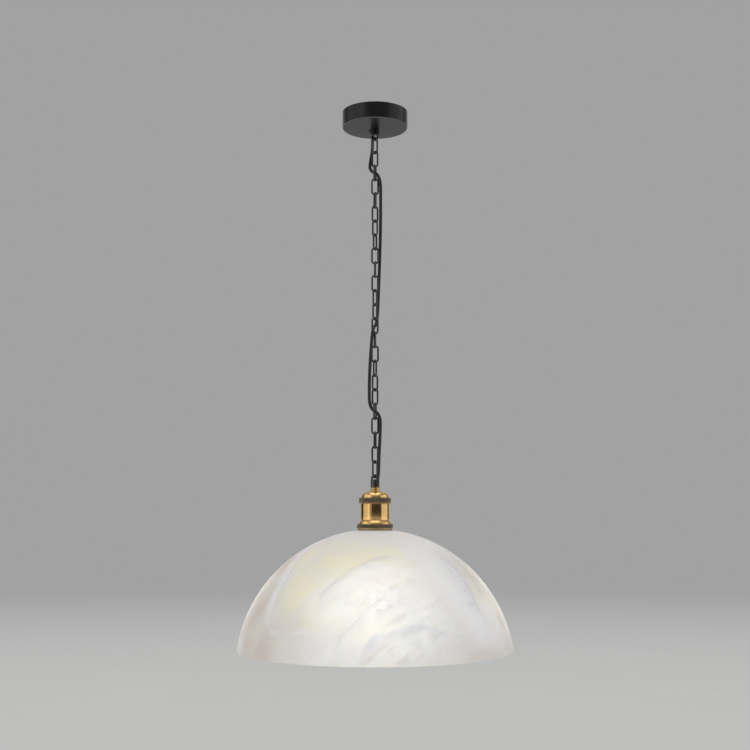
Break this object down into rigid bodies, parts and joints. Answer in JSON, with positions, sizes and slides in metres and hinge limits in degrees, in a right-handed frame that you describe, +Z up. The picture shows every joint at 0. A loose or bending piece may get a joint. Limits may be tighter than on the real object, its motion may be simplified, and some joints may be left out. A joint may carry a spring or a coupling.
{
  "type": "pendant light",
  "caption": "Pendant light with a swirled alabaster glass dome on a brass lamp holder, hung by a black chain with the cable woven through it from a round black ceiling rose.",
  "frame": {"origin": "middle of the ceiling rose, on the ceiling plane", "axes": "+Z up, the pendant hangs along -Z; +X to the right and -Y towards the viewer of the picture"},
  "size_m": [0.4, 0.3998, 0.8084],
  "materials": {
    "black_enamel": "satin black paint",
    "zinc_steel": "zinc plated",
    "black_nylon": "matt",
    "terminal_plastic": "moulded",
    "terminal_brass": "plain",
    "brown_insulation": "smooth",
    "blue_insulation": "smooth",
    "green_insulation": "smooth",
    "chain_metal": "black plated",
    "cable_sheath": "satin",
    "loop_metal": "dark bronze",
    "polished_brass": "polished, knurled bands aged",
    "gasket_rubber": "matt",
    "alabaster_glass": "swirled alabaster",
    "porcelain": "glazed",
    "bulb_metal": "drawn",
    "bulb_tip": "tinned",
    "bulb_glass": "frosted, lit"
  },
  "bodies": {
    "rose": {"ceiling_strap": "zinc_steel", "rose_cup": "black_enamel", "rose_stud": "zinc_steel", "rose_nuts": "zinc_steel", "rose_loop": "black_enamel", "cable_bush": "black_nylon", "terminal_block": "terminal_plastic", "terminal_screws": "terminal_brass", "earth_screw": "terminal_brass", "rose_live_wire": "brown_insulation", "rose_neutral_wire": "blue_insulation", "rose_earth_wire": "green_insulation", "cable_upper": "cable_sheath"},
    "first_link": {"chain_link_01": "chain_metal"},
    "chain": {"chain_link_02": "chain_metal", "chain_link_03": "chain_metal", "chain_link_04": "chain_metal", "chain_link_05": "chain_metal", "chain_link_06": "chain_metal", "chain_link_07": "chain_metal", "chain_link_08": "chain_metal", "chain_link_09": "chain_metal", "chain_link_10": "chain_metal", "chain_link_11": "chain_metal", "chain_link_12": "chain_metal", "chain_link_13": "chain_metal", "chain_link_14": "chain_metal", "chain_link_15": "chain_metal", "chain_link_16": "chain_metal", "chain_link_17": "chain_metal", "chain_link_18": "chain_metal", "chain_link_19": "chain_metal", "chain_link_20": "chain_metal", "chain_link_21": "chain_metal", "chain_link_22": "chain_metal", "chain_link_23": "chain_metal", "cable_run": "cable_sheath"},
    "last_link": {"chain_link_24": "chain_metal"},
    "lamp": {"cable_lower": "cable_sheath", "lamp_loop": "loop_metal", "neck_collar": "polished_brass", "cap_nut": "zinc_steel", "holder_cap": "polished_brass", "holder_shell": "polished_brass", "seat_ring": "polished_brass", "shade_gaskets": "gasket_rubber", "glass_shade": "alabaster_glass", "socket_body": "porcelain", "screw_shell": "terminal_brass", "centre_contact": "terminal_brass", "socket_screws": "terminal_brass", "lamp_live_wire": "brown_insulation", "lamp_neutral_wire": "blue_insulation", "lamp_earth_wire": "green_insulation"},
    "clamp_ring": {"clamp_ring": "polished_brass"},
    "bulb": {"bulb_cap": "bulb_metal", "bulb_contact": "bulb_tip", "bulb_globe": "bulb_glass"}
  },
  "joints": [
    {"name": "chain_swing_on_rose_eye", "type": "hinge", "parent": "rose", "child": "first_link", "pos_m": [0, 0, -0.0434], "axis": [-0.891, 0.454, 0], "range_deg": [-25, 25], "deforming": ["cable_upper"]},
    {"name": "chain_swing_on_first_link", "type": "hinge", "parent": "first_link", "child": "chain", "pos_m": [0, 0, -0.0647], "axis": [0.7325, 0.6807, 0], "range_deg": [-25, 25], "deforming": ["cable_upper"]},
    {"name": "last_link_swing", "type": "hinge", "parent": "chain", "child": "last_link", "pos_m": [0, 0, -0.5377], "axis": [0.8805, 0.4741, 0], "range_deg": [-20, 20], "deforming": ["cable_lower"]},
    {"name": "lamp_swing", "type": "hinge", "parent": "last_link", "child": "lamp", "pos_m": [0, 0, -0.5592], "axis": [-0.6947, 0.7193, 0], "range_deg": [-20, 20], "deforming": ["cable_lower"]},
    {"name": "clamp_ring_turn", "type": "hinge", "parent": "lamp", "child": "clamp_ring", "pos_m": [0, 0, -0.646], "axis": [0, 0, -1], "range_deg": [0, 1440]},
    {"name": "bulb_turn", "type": "hinge", "parent": "lamp", "child": "bulb", "pos_m": [0, 0, -0.63], "axis": [0, 0, -1], "range_deg": [0, 1080]}
  ]
}
